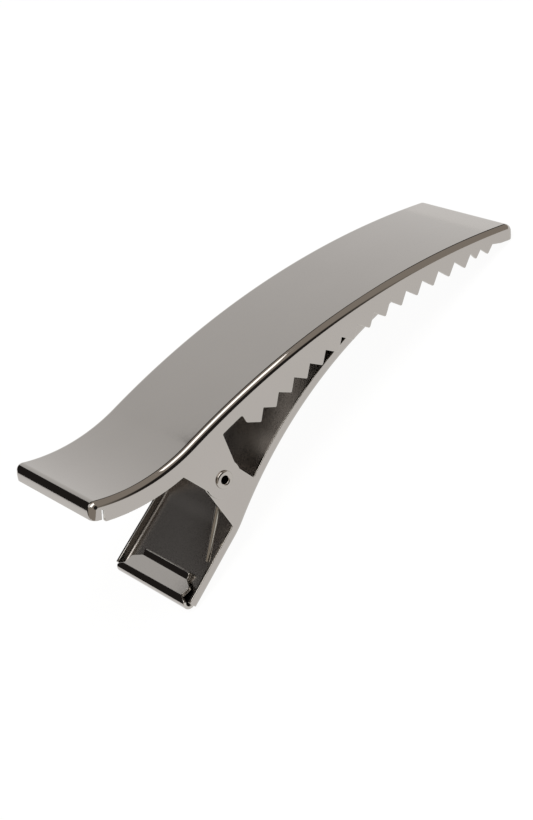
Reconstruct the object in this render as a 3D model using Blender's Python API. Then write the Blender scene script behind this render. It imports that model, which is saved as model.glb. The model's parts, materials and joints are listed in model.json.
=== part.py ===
"""A toothed steel sectioning clip for hair.

Two jaws are stamped from thin sheet and drawn up at their edges.  The upper jaw is the wider one: its
teeth and its ears hang outside the lower jaw.  A hollow rivet through both pairs of ears is the pivot,
and a torsion spring wound round it pushes the two handles apart, so that the jaws stay shut.

The side view is laid out round the pivot: +X points to the tips, +Z up, and Y runs along the rivet.
Lengths are in metres.
"""
import math

import bmesh
import bpy
from mathutils import Vector

MM = 0.001

# Sheet and fits
SHEET = 0.5 * MM            # thickness of both stamped jaws
BEND_RADIUS = 0.85 * MM     # outside radius of every bent edge
SIDE_GAP = 0.3 * MM         # between one ear and the next, and under each rivet head
HOLE_GAP = 0.25 * MM        # between the rivet's tube and the holes of the ears
CLOSED_GAP = 0.35 * MM      # between the lower jaw's edge and the upper plate when shut
TIP_GAP = 3.6 * MM          # from the lower jaw's tip to the end of the upper plate
WIRE_GAP = 0.3 * MM         # between a spring leg and the handle that it pushes
LEG_GAP = 0.75 * MM         # between a spring leg and the lower jaw's wall beside it
COIL_GAP = 0.5 * MM         # between the coil and the rivet's tube

# Upper jaw, along the outside of its plate
CLIP_WIDTH = 20.0 * MM
UPPER_RISE = 7.83 * MM      # height of the plate over the pivot, where its two curves meet
UPPER_MEET_BACK = 0.2 * MM  # how far behind the pivot they meet
UPPER_MEET_SLOPE = math.radians(-3.0)
TAIL_RADIUS = 26.0 * MM     # the handle curls up
TAIL_LENGTH = 16.7 * MM
ARCH_RADIUS = 124.0 * MM    # the jaw arches down
ARCH_LENGTH = 60.8 * MM
HANDLE_FLANGE = 2.9 * MM    # depth of the flange along the handle
WINDOW_FLANGE = 2.45 * MM   # and over the window
TOOTH_FLANGE_REAR = 3.85 * MM
TOOTH_FLANGE_FRONT = 2.3 * MM
LIP_DEPTH = 2.2 * MM        # turned-down lip across each end
SLIT_BACK = 1.55 * MM       # the handle's flange is slit this far from its lip
SLIT_WIDTH = 0.25 * MM
SLIT_TOP = 1.1 * MM

# Teeth of the upper jaw, measured along the plate from where its curves meet
TOOTH_COUNT = 14
TOOTH_PITCH = 3.14 * MM
TOOTH_HEIGHT = 1.6 * MM
FIRST_TOOTH = 10.1 * MM
TOOTH_LEAN = 0.6            # share of the pitch that lies behind a tooth's point
SMALL_TEETH = 2
SMALL_PITCH = 2.3 * MM
SMALL_HEIGHT = 0.95 * MM
TOOTH_ROUND = 0.32 * MM
WINDOW_FRONT = 8.3 * MM
WINDOW_ROUND = 0.5 * MM

# Ears of both jaws
EAR_RADIUS = 2.65 * MM
UPPER_EAR_REAR = 3.6 * MM   # half widths of the upper ear where it leaves the flange
UPPER_EAR_FRONT = 4.1 * MM
LOWER_EAR_REAR = 3.0 * MM   # half widths of the lower ear where it leaves the wall
LOWER_EAR_FRONT = 4.3 * MM
EAR_ROUND = 0.6 * MM

# Lower jaw, along the outside of its floor
HANDLE_ANGLE = math.radians(13.5)
HANDLE_LENGTH = 11.2 * MM
HANDLE_TAIL_X = -14.9 * MM
HANDLE_TAIL_Z = -11.52 * MM
KNEE_ANGLE = math.radians(10.9)
KNEE_RADIUS = 15.0 * MM
JAW_RADIUS = 63.0 * MM
WALL_HEIGHT = 1.6 * MM
HEM_GAP = 0.15 * MM         # inside the folded end of the handle
HEM_SIDE = 1.0 * MM         # from the jaw's side to the end of the fold
HEM_FLAP = 3.1 * MM
FLAP_SIDE = 2.8 * MM        # from the jaw's side to the side of the flap

# Rivet
TUBE_RADIUS = 0.9 * MM
TUBE_WALL = 0.25 * MM
HEAD_LAP = 0.25 * MM        # how far a head reaches past the hole that it covers
HEAD_HEIGHT = 0.4 * MM

# Spring
WIRE_RADIUS = 0.35 * MM
COIL_TURNS = 12             # full turns between the two legs
LOWER_FOOT_BACK = 8.3 * MM  # how far behind the pivot each leg ends
UPPER_FOOT_BACK = 8.6 * MM

# Fineness of the curves
PLATE_STEP = 2.2 * MM
BEND_STEPS = 3
ROUND_STEPS = 3
EAR_STEPS = 10
HOLE_STEPS = 16
TURN_STEPS = 14
WIRE_SIDES = 8
RIVET_STEPS = 24

# Sizes that follow from those above
UPPER_HALF = CLIP_WIDTH / 2
LOWER_HALF = UPPER_HALF - SHEET - SIDE_GAP
HEM_HALF = LOWER_HALF - HEM_SIDE
FLAP_HALF = LOWER_HALF - FLAP_SIDE
HOLE_RADIUS = TUBE_RADIUS + HOLE_GAP
BORE_RADIUS = TUBE_RADIUS - TUBE_WALL
HEAD_RADIUS = HOLE_RADIUS + HEAD_LAP
COIL_RADIUS = TUBE_RADIUS + COIL_GAP + WIRE_RADIUS
COIL_HALF = LOWER_HALF - SHEET - LEG_GAP - WIRE_RADIUS
CUT_MARGIN = 2.0 * MM       # how far a cutter reaches past what it cuts
EAR_REACH = 3.0 * MM        # height left for the ears past the pivot


class Path:
    """A chain of arcs in the side view; a positive radius turns it up, zero keeps it straight."""

    def __init__(self, x, z, heading, runs):
        self.runs = []
        for length, radius in runs:
            self.runs.append((x, z, heading, length, radius))
            x, z, heading = self._step(x, z, heading, length, radius)
        self.length = sum(length for length, _ in runs)

    @staticmethod
    def _step(x, z, heading, s, radius):
        if radius == 0.0:
            return x + s * math.cos(heading), z + s * math.sin(heading), heading
        turned = heading + s / radius
        x += radius * (math.sin(turned) - math.sin(heading))
        z -= radius * (math.cos(turned) - math.cos(heading))
        return x, z, turned

    def at(self, s):
        """Point and heading at the length s; past an end the last run goes on."""
        for number, (x, z, heading, length, radius) in enumerate(self.runs):
            if s <= length or number == len(self.runs) - 1:
                return self._step(x, z, heading, s, radius)
            s -= length

    def off(self, s, rise):
        """The point that lies the distance rise above the path, square to it."""
        x, z, heading = self.at(s)
        return x - rise * math.sin(heading), z + rise * math.cos(heading)

    def along(self, start, end, rise, step=PLATE_STEP):
        """Points from start to end at an even step, the distance rise above the path."""
        count = max(1, round(abs(end - start) / step))
        return [self.off(start + (end - start) * i / count, rise) for i in range(count + 1)]

    def length_at_x(self, x):
        """The length at which the path passes x."""
        low, high = -self.length, 2 * self.length
        for _ in range(60):
            middle = (low + high) / 2
            if self.at(middle)[0] < x:
                low = middle
            else:
                high = middle
        return low


def upper_path():
    """Outside of the upper plate, from the end of its tail to its tip."""
    start_slope = UPPER_MEET_SLOPE - TAIL_LENGTH / TAIL_RADIUS
    back = Path(0.0, 0.0, start_slope, [(TAIL_LENGTH, TAIL_RADIUS)])
    meet_x, meet_z, _ = back.at(TAIL_LENGTH)
    runs = [(TAIL_LENGTH, TAIL_RADIUS), (ARCH_LENGTH, -ARCH_RADIUS)]
    return Path(-UPPER_MEET_BACK - meet_x, UPPER_RISE - meet_z, start_slope, runs)


def lower_path(upper):
    """Outside of the lower floor, from the fold at its tail to its tip inside the upper jaw's lip."""
    knee = [(HANDLE_LENGTH, 0.0), (KNEE_ANGLE * KNEE_RADIUS, KNEE_RADIUS)]
    endless = Path(HANDLE_TAIL_X, HANDLE_TAIL_Z, HANDLE_ANGLE, knee + [(upper.length, -JAW_RADIUS)])
    tip_x = upper.at(upper.length - TIP_GAP)[0]
    jaw_length = endless.length_at_x(tip_x) - sum(length for length, _ in knee)
    return Path(HANDLE_TAIL_X, HANDLE_TAIL_Z, HANDLE_ANGLE, knee + [(jaw_length, -JAW_RADIUS)])


def circle_points(radius, start, end, steps, centre=(0.0, 0.0)):
    """Points on an arc round centre, from one angle to another."""
    angles = [start + (end - start) * i / steps for i in range(steps + 1)]
    return [(centre[0] + radius * math.cos(a), centre[1] + radius * math.sin(a)) for a in angles]


def rounded(corners):
    """An outline whose corners (x, z, radius) become arcs, each no longer than its shorter side allows."""
    outline = []
    for number, (x, z, radius) in enumerate(corners):
        corner = Vector((x, z))
        before = Vector(corners[number - 1][:2]) - corner
        after = Vector(corners[(number + 1) % len(corners)][:2]) - corner
        half = before.angle(after) / 2
        if radius == 0.0 or half > math.radians(88):
            outline.append((x, z))
            continue
        reach = min(radius / math.tan(half), 0.45 * before.length, 0.45 * after.length)
        first = corner + before.normalized() * reach
        last = corner + after.normalized() * reach
        for i in range(ROUND_STEPS + 1):
            t = i / ROUND_STEPS
            point = first * (1 - t) ** 2 + corner * 2 * t * (1 - t) + last * t ** 2
            outline.append((point.x, point.y))
    return outline


def sharp(points):
    """Corners that keep their points."""
    return [(x, z, 0.0) for x, z in points]


def new_object(name, mesh_data, material=None):
    """An object made from a bmesh, linked to the scene."""
    mesh = bpy.data.meshes.new(name)
    mesh_data.to_mesh(mesh)
    mesh_data.free()
    made = bpy.data.objects.new(name, mesh)
    bpy.context.scene.collection.objects.link(made)
    if material:
        mesh.materials.append(material)
    return made


def helper(made):
    """Mark an object that only shapes another one."""
    made.hide_render = True
    made.display_type = "WIRE"
    return made


def prism(name, outline, half_width):
    """A side outline carried straight across the clip."""
    work = bmesh.new()
    corners = [work.verts.new((x, -half_width, z)) for x, z in outline]
    face = work.faces.new(corners)
    grown = bmesh.ops.extrude_face_region(work, geom=[face])["geom"]
    moved = [item for item in grown if isinstance(item, bmesh.types.BMVert)]
    bmesh.ops.translate(work, verts=moved, vec=(0.0, 2 * half_width, 0.0))
    bmesh.ops.recalc_face_normals(work, faces=work.faces[:])
    return helper(new_object(name, work))


def cross_pin(name, radius, half_width):
    """A round cutter along the pivot."""
    outline = circle_points(radius, 0.0, 2 * math.pi, HOLE_STEPS)[:-1]
    return prism(name, outline, half_width)


def box_shell(start, end, half_width, top, depth, radius, cuts):
    """An open box, bevelled along its plate and its upright edges and cut across at each length."""
    work = bmesh.new()
    bmesh.ops.create_cube(work, size=1.0)
    for vert in work.verts:
        vert.co.x = end if vert.co.x > 0 else start
        vert.co.y = half_width if vert.co.y > 0 else -half_width
        vert.co.z = depth if vert.co.z < 0 else top
    mouth = [face for face in work.faces if all(abs(vert.co.z - depth) < 1e-9 for vert in face.verts)]
    bmesh.ops.delete(work, geom=mouth, context="FACES_ONLY")
    closed = [edge for edge in work.edges if len(edge.link_faces) == 2]
    bmesh.ops.bevel(work, geom=closed, offset=radius, segments=BEND_STEPS, profile=0.5, affect="EDGES")
    for length in cuts:
        everything = work.verts[:] + work.edges[:] + work.faces[:]
        bmesh.ops.bisect_plane(work, geom=everything, plane_co=(length, 0, 0), plane_no=(1, 0, 0))
    return work


def tray(name, path, half_width, depth, side, ends, material):
    """A drawn tray that follows a path: a plate, flanges and closed ends of one sheet.

    It is built straight, with its depth below the plate as the third coordinate, and then laid along the
    path.  side is -1 where the flanges hang down from the plate and +1 where they stand up.
    """
    start, end = ends
    first, last = start + 2 * BEND_RADIUS, end - 2 * BEND_RADIUS
    count = round((last - first) / PLATE_STEP)
    cuts = [first + (last - first) * i / count for i in range(count + 1)]
    work = box_shell(start, end, half_width, 0.0, depth, BEND_RADIUS, cuts)
    inner = box_shell(start + SHEET, end - SHEET, half_width - SHEET, SHEET, depth,
                      BEND_RADIUS - SHEET, cuts)
    work.verts.index_update()
    rims = [[vert.index for vert in edge.verts] for edge in work.edges if edge.is_boundary]
    outside_count = len(work.verts)
    scratch = bpy.data.meshes.new("scratch")
    inner.to_mesh(scratch)
    inner.free()
    work.from_mesh(scratch)
    bpy.data.meshes.remove(scratch)
    work.verts.ensure_lookup_table()
    for first_rim, second_rim in rims:
        loop = (first_rim, second_rim, second_rim + outside_count, first_rim + outside_count)
        work.faces.new([work.verts[number] for number in loop])
    for vert in work.verts:
        x, z = path.off(vert.co.x, side * vert.co.z)
        vert.co.x, vert.co.z = x, z
    bmesh.ops.recalc_face_normals(work, faces=work.faces[:])
    return new_object(name, work, material)


def add_boolean(target, operation, other):
    """Cut, join or trim one object with another."""
    change = target.modifiers.new(other.name, "BOOLEAN")
    change.operation = operation
    change.solver = "EXACT"
    change.object = other


def steel(name, colour, roughness):
    """Plated steel with its own tone."""
    made = bpy.data.materials.new(name)
    made.use_nodes = True
    shader = made.node_tree.nodes["Principled BSDF"]
    shader.inputs["Base Color"].default_value = (*colour, 1.0)
    shader.inputs["Metallic"].default_value = 1.0
    shader.inputs["Roughness"].default_value = roughness
    return made


def tooth_corners(path, meet):
    """The toothed edge of the upper jaw, from its tip back to the window, as corners to round."""
    points = []
    tips = [FIRST_TOOTH + TOOTH_PITCH * i for i in range(TOOTH_COUNT)]
    heights = [TOOTH_HEIGHT] * TOOTH_COUNT
    pitches = [TOOTH_PITCH] * TOOTH_COUNT
    for _ in range(SMALL_TEETH):
        tips.append(tips[-1] + SMALL_PITCH)
        heights.append(SMALL_HEIGHT)
        pitches.append(SMALL_PITCH)
    span = tips[-1] - tips[0]
    for tip, height, pitch in zip(tips, heights, pitches):
        share = (tip - tips[0]) / span
        root = TOOTH_FLANGE_REAR + (TOOTH_FLANGE_FRONT - TOOTH_FLANGE_REAR) * share
        points.append((*path.off(meet + tip, -root - height), TOOTH_ROUND))
        ahead = meet + tip + (1 - TOOTH_LEAN) * pitch
        points.append((*path.off(ahead, -root), TOOTH_ROUND))
    window = meet + WINDOW_FRONT
    rear_root = path.off(window, -TOOTH_FLANGE_REAR)
    points.insert(0, (*rear_root, WINDOW_ROUND))
    points.insert(0, (*path.off(window, -WINDOW_FLANGE), WINDOW_ROUND))
    return points[::-1]


def upper_outline(path):
    """Side outline of the upper jaw: its top with a margin, its lips, teeth, window, ears and flange."""
    meet = TAIL_LENGTH
    tip = path.length
    top = path.along(-CUT_MARGIN, tip + CUT_MARGIN, CUT_MARGIN)
    nose = [
        (*path.off(tip + CUT_MARGIN, -LIP_DEPTH / 2), 0.0),
        (*path.off(tip + SHEET / 4, -LIP_DEPTH / 2), 0.0),
        (*path.off(tip + SHEET / 4, -LIP_DEPTH), SHEET),
    ]
    ear_front = path.length_at_x(UPPER_EAR_FRONT)
    ear_rear = path.length_at_x(-UPPER_EAR_REAR)
    front = (*path.off(ear_front, -WINDOW_FLANGE), EAR_ROUND)
    ear = sharp(circle_points(EAR_RADIUS, math.radians(12), math.radians(-192), EAR_STEPS))
    rear = (*path.off(ear_rear, -HANDLE_FLANGE), EAR_ROUND)
    handle = sharp(path.along(ear_rear - 2 * EAR_ROUND, SLIT_BACK + SLIT_WIDTH, -HANDLE_FLANGE))
    x, z, _ = handle[-1]
    handle[-1] = (x, z, SHEET)
    slit = [
        (*path.off(SLIT_BACK + SLIT_WIDTH, -SLIT_TOP), 0.0),
        (*path.off(SLIT_BACK, -SLIT_TOP), 0.0),
        (*path.off(SLIT_BACK, -LIP_DEPTH), 0.0),
        (*path.off(-CUT_MARGIN, -LIP_DEPTH), 0.0),
    ]
    return rounded(sharp(top) + nose + tooth_corners(path, meet) + [front] + ear + [rear] + handle + slit)


def make_upper_jaw(path, material):
    """The toothed upper jaw."""
    ends = (0.0, path.length)
    depth = UPPER_RISE + EAR_REACH
    jaw = tray("upper_jaw", path, UPPER_HALF, depth, -1, ends, material)
    add_boolean(jaw, "INTERSECT", prism("upper_outline", upper_outline(path), UPPER_HALF + CUT_MARGIN))
    add_boolean(jaw, "DIFFERENCE", cross_pin("upper_hole", HOLE_RADIUS, UPPER_HALF + CUT_MARGIN))
    return jaw


def lower_outline(path, upper):
    """Side outline of the lower jaw: its wall, its ear, and an edge that clears the upper plate."""
    ear_rear = path.length_at_x(-LOWER_EAR_REAR)
    ear_front = path.length_at_x(LOWER_EAR_FRONT)
    wall = path.along(0.0, ear_rear - 2 * EAR_ROUND, WALL_HEIGHT)
    ear = circle_points(EAR_RADIUS, math.radians(186), math.radians(-14), EAR_STEPS)
    front_wall = []
    for x, z in path.along(ear_front + 2 * EAR_ROUND, path.length, WALL_HEIGHT):
        _, plate_z, slope = upper.at(upper.length_at_x(x))
        front_wall.append((x, min(z, plate_z - (SHEET + CLOSED_GAP) / math.cos(slope))))
    bottom = path.along(path.length, 0.0, -CUT_MARGIN)
    corners = sharp(wall)
    corners.append((*path.off(ear_rear, WALL_HEIGHT), EAR_ROUND))
    corners += sharp(ear)
    corners.append((*path.off(ear_front, WALL_HEIGHT), EAR_ROUND))
    corners += sharp(front_wall) + sharp(bottom)
    return rounded(corners)


def make_hem(path):
    """The handle's end, folded up and back on itself, with the flap narrower than the fold."""
    inner = HEM_GAP / 2
    outer = inner + SHEET
    fold_steps = 8
    bottom_to_top = [math.radians(-90 - 180 * i / fold_steps) for i in range(fold_steps + 1)]
    outside = [(outer * math.cos(a), outer + outer * math.sin(a)) for a in bottom_to_top]
    inside = [(inner * math.cos(a), outer + inner * math.sin(a)) for a in reversed(bottom_to_top)]
    end_round = circle_points(SHEET / 2, math.radians(90), math.radians(-90), 4,
                              (HEM_FLAP, 2 * outer - SHEET / 2))
    outline = [(SHEET, 0.0)] + outside + end_round + inside + [(SHEET, SHEET)]
    outline = [path.off(s, rise) for s, rise in outline]
    return prism("hem", outline, HEM_HALF)


def make_hem_trim(path, side):
    """A cutter that narrows the flap on one side, clear of the fold."""
    half = HEM_HALF + HEM_GAP
    flap = FLAP_HALF
    outline = [(SHEET, flap + SHEET), (2 * SHEET, flap), (HEM_FLAP + SHEET, flap),
               (HEM_FLAP + SHEET, half), (SHEET, half)]
    low, high = SHEET + HEM_GAP / 2, 2 * SHEET + 2 * HEM_GAP
    work = bmesh.new()
    rings = []
    for rise in (low, high):
        ring = []
        for s, y in outline:
            x, z = path.off(s, rise)
            ring.append(work.verts.new((x, side * y, z)))
        rings.append(ring)
    work.faces.new(rings[0])
    work.faces.new(rings[1])
    for i in range(len(outline)):
        j = (i + 1) % len(outline)
        work.faces.new((rings[0][i], rings[0][j], rings[1][j], rings[1][i]))
    bmesh.ops.recalc_face_normals(work, faces=work.faces[:])
    return helper(new_object("hem_trim_" + ("left" if side > 0 else "right"), work))


def make_lower_jaw(path, upper, material):
    """The plain lower jaw, with its folded handle end."""
    ends = (-CUT_MARGIN, path.length + CUT_MARGIN)
    depth = EAR_REACH - path.off(path.length_at_x(0.0), 0.0)[1]
    jaw = tray("lower_jaw", path, LOWER_HALF, depth, 1, ends, material)
    outline = lower_outline(path, upper)
    add_boolean(jaw, "INTERSECT", prism("lower_outline", outline, LOWER_HALF + CUT_MARGIN))
    add_boolean(jaw, "DIFFERENCE", cross_pin("lower_hole", HOLE_RADIUS, LOWER_HALF + CUT_MARGIN))
    add_boolean(jaw, "UNION", make_hem(path))
    for side in (-1, 1):
        add_boolean(jaw, "DIFFERENCE", make_hem_trim(path, side))
    return jaw


def make_rivet(material):
    """The hollow rivet: a tube with a curled head at each end, turned round Y."""
    seat = UPPER_HALF + SIDE_GAP
    curl = (HEAD_RADIUS - BORE_RADIUS) / 2
    middle = BORE_RADIUS + curl
    crown = [(middle + curl * math.cos(a), seat + HEAD_HEIGHT * math.sin(a))
             for a in (math.radians(180 - 30 * i) for i in range(7))]
    one_side = [(BORE_RADIUS, 0.0)] + crown + [(TUBE_RADIUS, seat), (TUBE_RADIUS, 0.0)]
    other_side = [(r, -y) for r, y in reversed(one_side)][1:-1]
    profile = one_side + other_side
    work = bmesh.new()
    ring = [work.verts.new((r, y, 0.0)) for r, y in profile]
    edges = [work.edges.new((ring[i], ring[(i + 1) % len(ring)])) for i in range(len(ring))]
    bmesh.ops.spin(work, geom=ring + edges, cent=(0, 0, 0), axis=(0, 1, 0), angle=2 * math.pi,
                   steps=RIVET_STEPS, use_merge=True)
    bmesh.ops.remove_doubles(work, verts=work.verts[:], dist=1e-7)
    bmesh.ops.recalc_face_normals(work, faces=work.faces[:])
    made = new_object("pivot_rivet", work, material)
    made.data.shade_smooth()
    made.data.set_sharp_from_angle(angle=math.radians(40))
    return made


def foot(path, back, side):
    """Where a leg's wire ends: beside the sheet of a handle, the distance back behind the pivot."""
    return path.off(path.length_at_x(-back), side * (SHEET + WIRE_GAP + WIRE_RADIUS))


def spring_centre_line(lower, upper):
    """Centre of the wire: the lower leg, the coil from one side to the other, and the upper leg."""
    lower_foot = foot(lower, LOWER_FOOT_BACK, 1)
    upper_foot = foot(upper, UPPER_FOOT_BACK, -1)
    low_angle = math.atan2(lower_foot[1], lower_foot[0])
    high_angle = math.atan2(upper_foot[1], upper_foot[0])
    enter = low_angle + math.acos(COIL_RADIUS / math.hypot(*lower_foot))
    leave = high_angle - math.acos(COIL_RADIUS / math.hypot(*upper_foot))
    while leave < enter:
        leave += 2 * math.pi
    leave += 2 * math.pi * COIL_TURNS
    steps = round((leave - enter) / (2 * math.pi) * TURN_STEPS)
    line = [(lower_foot[0], -COIL_HALF, lower_foot[1])]
    for i in range(steps + 1):
        share = i / steps
        angle = enter + (leave - enter) * share
        across = COIL_HALF * (2 * share - 1)
        line.append((COIL_RADIUS * math.cos(angle), across, COIL_RADIUS * math.sin(angle)))
    line.append((upper_foot[0], COIL_HALF, upper_foot[1]))
    return line


def make_spring(lower, upper, material):
    """The torsion spring, as a curve with round wire and closed ends."""
    line = spring_centre_line(lower, upper)
    curve = bpy.data.curves.new("torsion_spring", "CURVE")
    curve.dimensions = "3D"
    curve.twist_mode = "MINIMUM"
    curve.bevel_depth = WIRE_RADIUS
    curve.bevel_resolution = WIRE_SIDES // 4
    curve.use_fill_caps = True
    spline = curve.splines.new("POLY")
    spline.points.add(len(line) - 1)
    for point, place in zip(spline.points, line):
        point.co = (*place, 1.0)
    made = bpy.data.objects.new("torsion_spring", curve)
    bpy.context.scene.collection.objects.link(made)
    curve.materials.append(material)
    return made


def lowest_and_ends(pieces):
    """Lowest height and the two ends along X of the finished pieces."""
    bpy.context.view_layer.update()
    graph = bpy.context.evaluated_depsgraph_get()
    xs, zs = [], []
    for piece in pieces:
        shaped = piece.evaluated_get(graph)
        mesh = shaped.to_mesh()
        for vert in mesh.vertices:
            place = shaped.matrix_world @ vert.co
            xs.append(place.x)
            zs.append(place.z)
        shaped.to_mesh_clear()
    return min(zs), min(xs), max(xs)


def main():
    """Build the clip and stand it on the ground, centred over the origin."""
    for old in list(bpy.data.objects):
        bpy.data.objects.remove(old, do_unlink=True)
    upper = upper_path()
    lower = lower_path(upper)
    plate = steel("polished gunmetal plate", (0.36, 0.35, 0.34), 0.12)
    under = steel("polished gunmetal plate, lower", (0.34, 0.33, 0.32), 0.12)
    rivet = steel("nickel-plated rivet", (0.46, 0.45, 0.43), 0.18)
    wire = steel("spring steel wire", (0.50, 0.49, 0.46), 0.2)
    pieces = [
        make_upper_jaw(upper, plate),
        make_lower_jaw(lower, upper, under),
        make_rivet(rivet),
        make_spring(lower, upper, wire),
    ]
    bottom, rear, front = lowest_and_ends(pieces)
    axis = bpy.data.objects.new("pivot_axis", None)
    bpy.context.scene.collection.objects.link(axis)
    axis.location = (-(rear + front) / 2, 0.0, -bottom)
    for piece in list(bpy.data.objects):
        if piece is not axis:
            piece.parent = axis


main()
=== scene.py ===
"""The looks of a toothed steel sectioning clip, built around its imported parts.

Both jaws are drawn as real sheet: an outer face, an inner face at the sheet's thickness and a rounded cut
edge all round.  The side view is laid out round the pivot, with +X towards the tips and +Z up.
Lengths are in metres and angles in radians, where nothing else is said.
"""

import json
import logging
from dataclasses import dataclass, field
from enum import Enum
from typing import ClassVar

import bpy
import numpy as np
from mathutils import Matrix, Vector


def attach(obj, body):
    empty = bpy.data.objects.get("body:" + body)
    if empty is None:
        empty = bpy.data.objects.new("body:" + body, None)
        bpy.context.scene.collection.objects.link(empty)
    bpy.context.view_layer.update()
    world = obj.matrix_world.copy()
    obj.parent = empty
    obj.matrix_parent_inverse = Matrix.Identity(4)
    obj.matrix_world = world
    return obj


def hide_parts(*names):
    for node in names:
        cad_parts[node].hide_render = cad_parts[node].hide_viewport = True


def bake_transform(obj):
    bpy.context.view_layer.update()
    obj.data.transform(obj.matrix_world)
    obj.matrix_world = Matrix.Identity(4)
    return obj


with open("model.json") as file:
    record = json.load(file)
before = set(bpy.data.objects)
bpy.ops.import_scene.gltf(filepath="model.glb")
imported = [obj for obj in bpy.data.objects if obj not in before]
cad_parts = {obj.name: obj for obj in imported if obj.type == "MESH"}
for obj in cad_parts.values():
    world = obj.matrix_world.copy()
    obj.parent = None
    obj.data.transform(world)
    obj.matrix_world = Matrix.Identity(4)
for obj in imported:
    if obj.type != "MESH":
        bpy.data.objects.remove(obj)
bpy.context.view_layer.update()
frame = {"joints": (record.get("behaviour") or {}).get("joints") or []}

log = logging.getLogger("clip")

MM = 0.001
PIVOT = np.array(frame["joints"][0]["pos_m"])
WELD = 1e-8                 # points closer than this are one point
STATION = 0.5 * MM          # how far apart the points of a free edge lie
ROW = 0.6 * MM              # how far apart the points across a plate lie
CORNER_STEPS = 6            # chords of each rounded corner of a free edge
CORNER_SHARE = 0.45         # the most of a side that a rounded corner takes
EAR_STEP = 2.0              # degrees between the points of an ear
HOLE_STEP = 7.5             # degrees between the points of a rivet hole
SHEET = 0.5 * MM            # thickness of both stamped jaws
SIDE_GAP = 0.3 * MM         # between an upper ear and the lower one inside it
EAR_RADIUS = 2.65 * MM
EAR_ROUND = 0.35 * MM       # radius where an ear meets its flange
NOISE_SPAN = (0.35, 0.65)   # between which nearly all values of a noise pattern lie


class Facing(Enum):
    """Which way a tray's flanges stand from its plate."""

    DOWN = -1
    UP = 1


def unit(vectors: np.ndarray) -> np.ndarray:
    """Vectors, along the last axis, scaled to length one."""
    return vectors / np.maximum(np.linalg.norm(vectors, axis=-1, keepdims=True), 1e-12)


def across(start: float, end: float, step: float) -> np.ndarray:
    """Even stations from start to end, about a step apart."""
    return np.linspace(start, end, max(2, int(round(abs(end - start) / step)) + 1))


def quarter(steps: int) -> np.ndarray:
    """Angles of a quarter turn, from 0 to 90 degrees."""
    return np.linspace(0.0, np.pi / 2, steps + 1)


def circle(angles: np.ndarray) -> np.ndarray:
    """Points (cos a, sin a) of the unit circle, as rows."""
    return np.column_stack([np.cos(angles), np.sin(angles)])


def arc(radius: float, start: float, end: float, step: float) -> np.ndarray:
    """Points of a circle for even angles from start to end, about a step apart, all in degrees."""
    return radius * circle(np.radians(across(start, end, step)))


def corner_rows(points: np.ndarray, radius: float = 0.0) -> np.ndarray:
    """Rows of x, z and one corner radius, as round_corners takes them."""
    return np.column_stack([points, np.full(len(points), radius)])


def round_corners(corners: np.ndarray) -> np.ndarray:
    """An open outline with its corners rounded.

    Each corner becomes the parabola through two points on its sides, at the distance r / tan(half the
    corner's angle) from it and never past a share of the shorter side.

    Args:
        corners: rows of x, z and the corner's radius; 0 keeps the corner.

    Returns:
        Rows of x and z, without repeated points.
    """
    points, radius = corners[:, :2], corners[:, 2]
    before = np.vstack([points[:1], points[:-1]]) - points
    after = np.vstack([points[1:], points[-1:]]) - points
    inside = np.sum(unit(before) * unit(after), axis=1)
    half = np.arccos(np.clip(inside, -1.0, 1.0)) / 2
    sides = np.minimum(np.linalg.norm(before, axis=1), np.linalg.norm(after, axis=1))
    reach = np.minimum(radius / np.maximum(np.tan(half), 1e-6), CORNER_SHARE * sides)[:, None, None]
    first = points[:, None] + unit(before)[:, None] * reach
    last = points[:, None] + unit(after)[:, None] * reach
    t = np.linspace(0.0, 1.0, CORNER_STEPS + 1)[None, :, None]
    curve = first * (1 - t) ** 2 + points[:, None] * 2 * t * (1 - t) + last * t ** 2
    flat = curve.reshape(-1, 2)
    kept = np.append(True, np.linalg.norm(np.diff(flat, axis=0), axis=1) > 1e-7)
    return flat[kept]


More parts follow.
